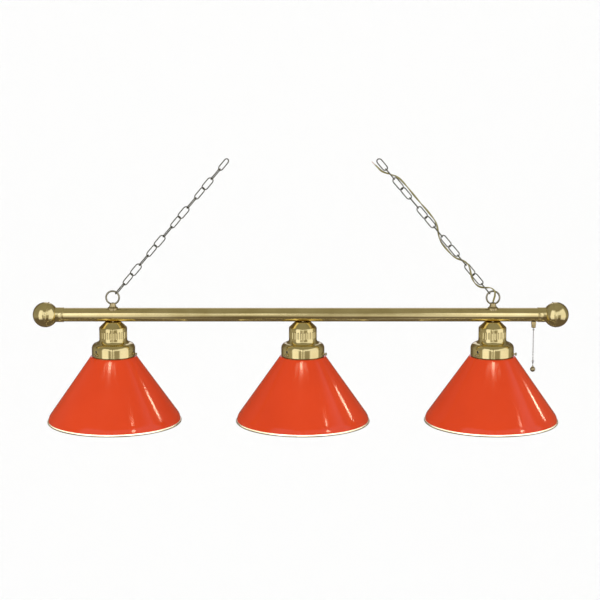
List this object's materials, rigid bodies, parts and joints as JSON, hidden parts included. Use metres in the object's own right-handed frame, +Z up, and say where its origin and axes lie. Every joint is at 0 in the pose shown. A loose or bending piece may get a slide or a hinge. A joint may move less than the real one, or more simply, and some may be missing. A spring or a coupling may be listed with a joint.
{
  "type": "pool table lamp",
  "caption": "Billiard table pendant: polished brass bar with ball ends on two slanted chains, with cone metal shades, woven cord and pull-chain switch.",
  "frame": {"origin": "midway between the two ceiling hooks, at the height where they bear on the top links", "axes": "+X along the bar towards the pull switch, -Y the front, +Z up"},
  "size_m": [1.422, 0.358, 0.7067],
  "materials": {
    "brass_bar": "polished",
    "brass_cap": "polished",
    "brass_cast": "satin",
    "brass_screw": "polished",
    "brass_trim": "polished",
    "chain_steel": "satin antique plating",
    "orange_enamel": "gloss",
    "socket_phenolic": "satin",
    "socket_metal": "polished",
    "cord_vinyl": "translucent gold vinyl",
    "copper": "bare stranded copper",
    "bead_nickel": "satin",
    "black_plastic": "matte",
    "wire_insulation": "satin",
    "zinc_steel": "zinc plated"
  },
  "bodies": {
    "ceiling_links": {"top_link_left": "chain_steel", "top_link_right": "chain_steel"},
    "hanging_frame": {"bar_tube": "brass_bar", "centre_contacts": "socket_metal", "chain_left": "chain_steel", "chain_right": "chain_steel", "cord_bushing": "black_plastic", "cord_leads": "copper", "finial_ball_left": "brass_cap", "finial_ball_right": "brass_cap", "finial_plug_left": "zinc_steel", "finial_plug_right": "zinc_steel", "finial_sleeve_left": "brass_cap", "finial_sleeve_right": "brass_cap", "holder_left": "brass_cap", "holder_middle": "brass_cap", "holder_right": "brass_cap", "loop_left": "brass_cast", "loop_locknuts": "zinc_steel", "loop_right": "brass_cast", "nipple_left": "zinc_steel", "nipple_locknuts": "zinc_steel", "nipple_middle": "zinc_steel", "nipple_right": "zinc_steel", "power_cord": "cord_vinyl", "screw_shell_left": "socket_metal", "screw_shell_middle": "socket_metal", "screw_shell_right": "socket_metal", "socket_left": "socket_phenolic", "socket_middle": "socket_phenolic", "socket_right": "socket_phenolic", "switch_body": "black_plastic", "switch_bushing": "brass_cast", "wire_nuts": "black_plastic", "wiring_harness": "wire_insulation"},
    "shade_left": {"shade_left": "orange_enamel", "shade_neck_left": "orange_enamel", "rim_trim_left": "brass_trim"},
    "thumbscrew_left_1": {"thumbscrew_left_1": "brass_screw"},
    "thumbscrew_left_2": {"thumbscrew_left_2": "brass_screw"},
    "thumbscrew_left_3": {"thumbscrew_left_3": "brass_screw"},
    "shade_middle": {"shade_middle": "orange_enamel", "shade_neck_middle": "orange_enamel", "rim_trim_middle": "brass_trim"},
    "thumbscrew_middle_1": {"thumbscrew_middle_1": "brass_screw"},
    "thumbscrew_middle_2": {"thumbscrew_middle_2": "brass_screw"},
    "thumbscrew_middle_3": {"thumbscrew_middle_3": "brass_screw"},
    "shade_right": {"shade_right": "orange_enamel", "shade_neck_right": "orange_enamel", "rim_trim_right": "brass_trim"},
    "thumbscrew_right_1": {"thumbscrew_right_1": "brass_screw"},
    "thumbscrew_right_2": {"thumbscrew_right_2": "brass_screw"},
    "thumbscrew_right_3": {"thumbscrew_right_3": "brass_screw"},
    "pull_stem": {"pull_stem": "bead_nickel"},
    "pull_bead": {"pull_bead": "bead_nickel"},
    "pull_chain": {"pull_chain": "bead_nickel", "pull_connector": "bead_nickel", "pull_chain_end": "bead_nickel", "pull_ball": "brass_cap"}
  },
  "joints": [
    {"name": "fore_aft_swing", "type": "hinge", "parent": "ceiling_links", "child": "hanging_frame", "pos_m": [0, 0, -0.02524], "axis": [1, 0, 0], "range_deg": [-15, 15]},
    {"name": "shade_left_turn", "type": "hinge", "parent": "hanging_frame", "child": "shade_left", "pos_m": [-0.504, 0, -0.51509], "axis": [0, 0, 1], "continuous": true},
    {"name": "thumbscrew_left_1_back_out", "type": "slide", "parent": "hanging_frame", "child": "thumbscrew_left_1", "axis": [0.9563, -0.2924, 0], "range_m": [0, 0.006]},
    {"name": "thumbscrew_left_2_back_out", "type": "slide", "parent": "hanging_frame", "child": "thumbscrew_left_2", "axis": [-0.7314, -0.682, 0], "range_m": [0, 0.006]},
    {"name": "thumbscrew_left_3_back_out", "type": "slide", "parent": "hanging_frame", "child": "thumbscrew_left_3", "axis": [-0.225, 0.9744, 0], "range_m": [0, 0.006]},
    {"name": "shade_middle_turn", "type": "hinge", "parent": "hanging_frame", "child": "shade_middle", "pos_m": [0, 0, -0.51509], "axis": [0, 0, 1], "continuous": true},
    {"name": "thumbscrew_middle_1_back_out", "type": "slide", "parent": "hanging_frame", "child": "thumbscrew_middle_1", "axis": [0.9563, -0.2924, 0], "range_m": [0, 0.006]},
    {"name": "thumbscrew_middle_2_back_out", "type": "slide", "parent": "hanging_frame", "child": "thumbscrew_middle_2", "axis": [-0.7314, -0.682, 0], "range_m": [0, 0.006]},
    {"name": "thumbscrew_middle_3_back_out", "type": "slide", "parent": "hanging_frame", "child": "thumbscrew_middle_3", "axis": [-0.225, 0.9744, 0], "range_m": [0, 0.006]},
    {"name": "shade_right_turn", "type": "hinge", "parent": "hanging_frame", "child": "shade_right", "pos_m": [0.504, 0, -0.51509], "axis": [0, 0, 1], "continuous": true},
    {"name": "thumbscrew_right_1_back_out", "type": "slide", "parent": "hanging_frame", "child": "thumbscrew_right_1", "axis": [0.9563, -0.2924, 0], "range_m": [0, 0.006]},
    {"name": "thumbscrew_right_2_back_out", "type": "slide", "parent": "hanging_frame", "child": "thumbscrew_right_2", "axis": [-0.7314, -0.682, 0], "range_m": [0, 0.006]},
    {"name": "thumbscrew_right_3_back_out", "type": "slide", "parent": "hanging_frame", "child": "thumbscrew_right_3", "axis": [-0.225, 0.9744, 0], "range_m": [0, 0.006]},
    {"name": "switch_pull", "type": "slide", "parent": "hanging_frame", "child": "pull_stem", "axis": [0, 0, -1], "range_m": [0, 0.01], "stiffness_N_per_m": 300, "springref_m": -0.002},
    {"name": "pull_chain_fore_aft", "type": "hinge", "parent": "pull_stem", "child": "pull_bead", "pos_m": [0.613, 0, -0.45649], "axis": [1, 0, 0], "range_deg": [-30, 30]},
    {"name": "pull_chain_sideways", "type": "hinge", "parent": "pull_bead", "child": "pull_chain", "pos_m": [0.613, 0, -0.45649], "axis": [0, 1, 0], "range_deg": [-25, 2.5]}
  ]
}
